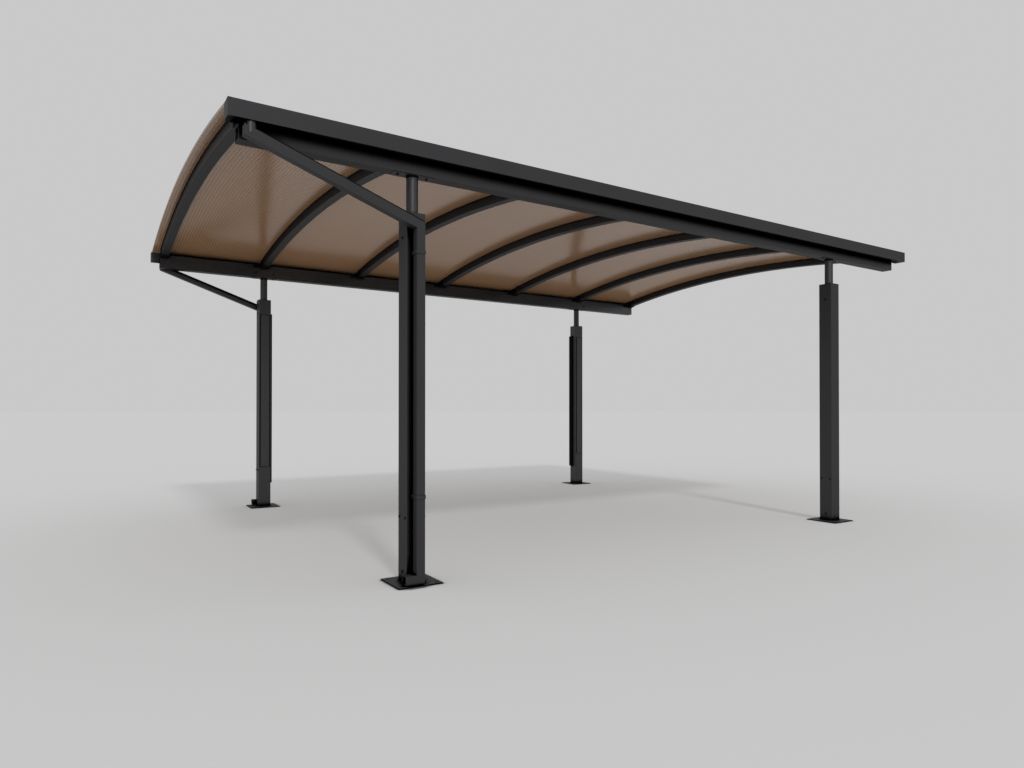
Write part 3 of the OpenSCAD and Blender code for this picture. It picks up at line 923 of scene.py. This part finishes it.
def buildPipeTrims():
    x0, z0 = trim["slopeStart"], trim["start"][1]
    x1, z1 = trim["slopeEnd"]
    run = Vector((x1 - x0, z1 - z0)).normalized()
    out = Vector((-run.y, run.x))
    top = carport["pipeW"] / 2 + trim["clear"]
    inner = carport["pipeY"] - carport["pipeD"] / 2
    outer = carport["pipeY"] + carport["pipeD"] / 2 - trim["outerIn"]
    section = [(outer, top), (outer, top + trim["over"]),
               (inner - trim["skin"], top + trim["over"]),
               (inner - trim["skin"], top - trim["down"]),
               (inner - trim["sideGap"], top - trim["down"]), (inner - trim["sideGap"], top)]
    bm = bmesh.new()
    for side in (-1, 1):
        def put(p, x):
            # cuts each end upright, along the line that x names
            spot = Vector((x0, z0)) + out * p[1]
            spot += run * ((x - spot.x) / run.x)
            return (spot.x, side * p[0], spot.y)
        sweep(bm, section, (trim["start"][0], trim["end"]), put)
    settle(bmToObject(bm, "pipe_trims"), "blackRubber")


# Rubber strips on the far posts

strip = {
    "from": -0.0365, "step": -0.005, "to": 0.0465, "flange": 0.0020, "thick": 0.021,
    "low": 0.203, "high": 1.694, "ridges": 4, "round": 0.003, "gap": 0.0001,
    "endInset": 0.004, "endTaper": 0.75,
    # between two ridges: (share of the pitch, depth)
    "valley": [(-0.2, 0.0), (-0.1, 0.0030), (0.1, 0.0030), (0.2, 0.0)],
}


def buildBumpers():
    # a thin coated flange towards the near side, and a thick ribbed bead behind it
    faces = carport["postX"] - carport["postW"] / 2
    start, bead, end, r = strip["from"], strip["step"], strip["to"], strip["round"]
    top = strip["thick"]
    outline = [(start, 0.0), (start, strip["flange"]), (bead, strip["flange"]),
               (bead, top - r), (bead + r * 0.3, top - r * 0.3), (bead + r, top)]
    pitch = (end - bead - 2 * r) / strip["ridges"]
    for k in range(strip["ridges"] - 1):
        y = bead + r + (k + 1) * pitch
        outline += [(y + pitch * share, top - depth) for share, depth in strip["valley"]]
    outline += [(end - r, top), (end - r * 0.3, top - r * 0.3), (end, top - r), (end, 0.0)]
    # (height, share of the thickness), tapered at both ends
    stations = [(strip["low"], strip["endTaper"]), (strip["low"] + strip["endInset"], 1.0),
                (strip["high"] - strip["endInset"], 1.0), (strip["high"], strip["endTaper"])]
    for side, name in ((-1, "far_left_bumper"), (1, "far_right_bumper")):
        def put(p, s):
            proud = p[1] * s[1] or strip["gap"]
            return (side * (faces - proud), carport["postY"] + p[0], s[0])
        bm = bmesh.new()
        sweep(bm, outline, stations, put)
        piece = settle(bmToObject(bm, name + "_strip"), "blackRubber", name)
        piece.data.materials.append(finishFor("farPostPaintedLight"))     # the flange has the post's coat
        for face in piece.data.polygons:
            if face.center.y < carport["postY"] + bead - 0.001 and abs(face.normal.z) < 0.9:
                face.material_index = 1


# Cover plates on the rails, over a black backing: a dark sheet that paints the shade of the gap
# round each cover as a thin outline

rail = {"halfW": 0.0355, "thick": 0.005, "low": 0.351, "high": 1.674, "bevel": 0.0012,
        "endTaper": 0.75, "back": 0.0014, "backTop": 0.0024, "backIn": 0.001}
railGapShade = {"inset": 0.0070, "thick": 0.0012, "off": 0.0002, "round": 0.0006, "beyond": 0.004}


def buildRailGapShade():
    w, t = carport["postW"] / 2 - railGapShade["inset"], railGapShade["thick"]
    face = carport["postY"] - carport["postW"] / 2
    left = [(-w, railGapShade["off"]), (-w, t * 0.7), (-w + railGapShade["round"], t)]
    bm = bmesh.new()
    for sx, sy in corners:
        sweep(bm, left + mirrored(left),
              (rail["low"] - railGapShade["beyond"], rail["high"] + railGapShade["beyond"]),
              lambda p, s: (sx * carport["postX"] + p[0], sy * (face - p[1]), s))
    settle(bmToObject(bm, "rail_gap_shade"), "blackRubber")


def buildRailCovers():
    w, t, e = rail["halfW"], rail["thick"], rail["bevel"]
    face = carport["postY"] - carport["postW"] / 2
    left = [(-w + rail["backIn"], rail["back"]), (-w, rail["backTop"]),
            (-w, t - e), (-w + e, t)]
    stations = [(rail["low"], rail["endTaper"]), (rail["low"] + e, 1.0),
                (rail["high"] - e, 1.0), (rail["high"], rail["endTaper"])]
    for sx, sy in corners:
        name = ("near" if sy < 0 else "far") + ("_left_rail" if sx < 0 else "_right_rail")
        bm = bmesh.new()
        sweep(bm, left + mirrored(left), stations,
              lambda p, s: (sx * carport["postX"] + p[0], sy * (face - p[1] * s[1]), s[0]))
        settle(bmToObject(bm, name + "_cover"), "railCover", name)


# Weld beads round the post feet

weld = {"size": 0.005, "pitch": 0.007, "perRipple": 4, "ripple": 0.0006, "inset": 0.003,
        "gap": 0.0002,
        "section": [(0, 0), (1.0, 0), (0.86, 0.42), (0.62, 0.70), (0.36, 0.90), (0, 1.0)]}


def buildFootWelds():
    bm = bmesh.new()
    h, z = carport["postW"] / 2, carport["plateT"]
    length = 2 * h - 2 * weld["inset"]
    steps = round(length / weld["pitch"] * weld["perRipple"])
    stations = [-h + weld["inset"] + length * k / steps for k in range(steps + 1)]
    for sx, sy in corners:
        x0, y0 = sx * carport["postX"], sy * carport["postY"]
        for turn in range(4):
            c, s = round(math.cos(turn * math.pi / 2)), round(math.sin(turn * math.pi / 2))

            def put(p, t):
                size = weld["size"] + weld["ripple"] * math.sin(2 * math.pi * t / weld["pitch"])
                out = h + weld["gap"] + p[0] * size
                up = z + weld["gap"] + p[1] * size
                return (x0 + c * out - s * t, y0 + s * out + c * t, up)
            sweep(bm, weld["section"], stations, put)
    settle(bmToObject(bm, "foot_welds"), "footWeld")


# Screws and plugs: where the photograph shows them, and the same on the faces turned away

screwSpots = {
    "high": 1.691, "pair": 0.322, "pairOut": 0.035, "low": 0.058, "radius": 0.0070,
    "beamOut": 0.075, "beamZ": 2.040,
    "clips": (0.427, 1.608), "clipIn": 0.012, "clipRadius": 0.0045,
    # a domed head with a hexagon socket: (radius, height), as shares of the radius
    "dome": [(1, 0), (1, 0.30), (0.92, 0.52), (0.72, 0.70), (0.5, 0.78), (-0.36, 0.78),
             (-0.36, 0.3)],
}


def plug(bm, at, axis, radius):
    turned(bm, at, axis, [(r * radius, h * radius) for r, h in screwSpots["dome"]])


def buildScrews():
    bm = bmesh.new()
    for sx, sy in corners:
        for way in (-1, 1):
            if sy > 0 and way == -sx:
                continue                     # the rubber strip is on this face
            x = sx * carport["postX"] + way * carport["postW"] / 2
            y = sy * carport["postY"]
            spots = [(y, screwSpots["high"]), (y, screwSpots["low"])]
            spots += [(y + k * screwSpots["pairOut"], screwSpots["pair"]) for k in (-1, 1)]
            for sideY, z in spots:
                plug(bm, (x, sideY, z), (way, 0, 0), screwSpots["radius"])
    for sx, sy in corners:
        for way in (-1, 1):
            x = sx * carport["postX"] + way * screwSpots["beamOut"]
            plug(bm, (x, sy * carport["beamIn"], screwSpots["beamZ"]), (0, -sy, 0),
                 screwSpots["radius"])
    settle(bmToObject(bm, "post_screws"), "darkScrew")

    # one screw on the left side of each pipe clip
    bm = bmesh.new()
    x = -carport["postX"] - carport["pipeW"] / 2 - carport["clipT"]
    for sy in (-1, 1):
        for z in screwSpots["clips"]:
            plug(bm, (x, sy * (carport["pipeY"] - screwSpots["clipIn"]), z), (-1, 0, 0),
                 screwSpots["clipRadius"])
    settle(bmToObject(bm, "clip_screws"), "screw")


# Make everything

makeCamera()
makeLight()
makeFloor()

# every node of the frame gets a finish, also those that a dressing piece replaces
for name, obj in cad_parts.items():
    if name.endswith("plate"):
        dress(obj, "footPlate")
    elif name.endswith("bumper"):
        dress(obj, "rubber")
    elif name.endswith("shoes"):
        dress(obj, "blackRubber")
    elif name.startswith("panel"):
        dress(obj, "sheet")
    elif name.endswith("gutter"):
        dress(obj, "gutter")
    elif name.endswith(("post", "beam", "pipe")):
        kind = name.split("_")[-1]
        dress(obj, "back" + kind.capitalize() if name.startswith("far") else kind)
    elif name.endswith("stub"):
        dress(obj, "stub")
    elif name.endswith(("outlet", "outfall")):
        dress(obj, name.split("_")[-1])
    elif name.startswith("rib"):
        dress(obj, "rib")
    else:
        dress(obj, "frame")

for i in range(bays):
    buildSheet(i)
print("stage: roof sheets built")
buildCaps()
buildEndProfiles()
buildClosures()
buildRibSeals()
print("stage: roof edges built")
buildSaddles()
buildRibFootShade()
buildPipeTrims()
buildBumpers()
buildRailGapShade()
buildRailCovers()
buildFootWelds()
buildScrews()
print("stage: fittings built")
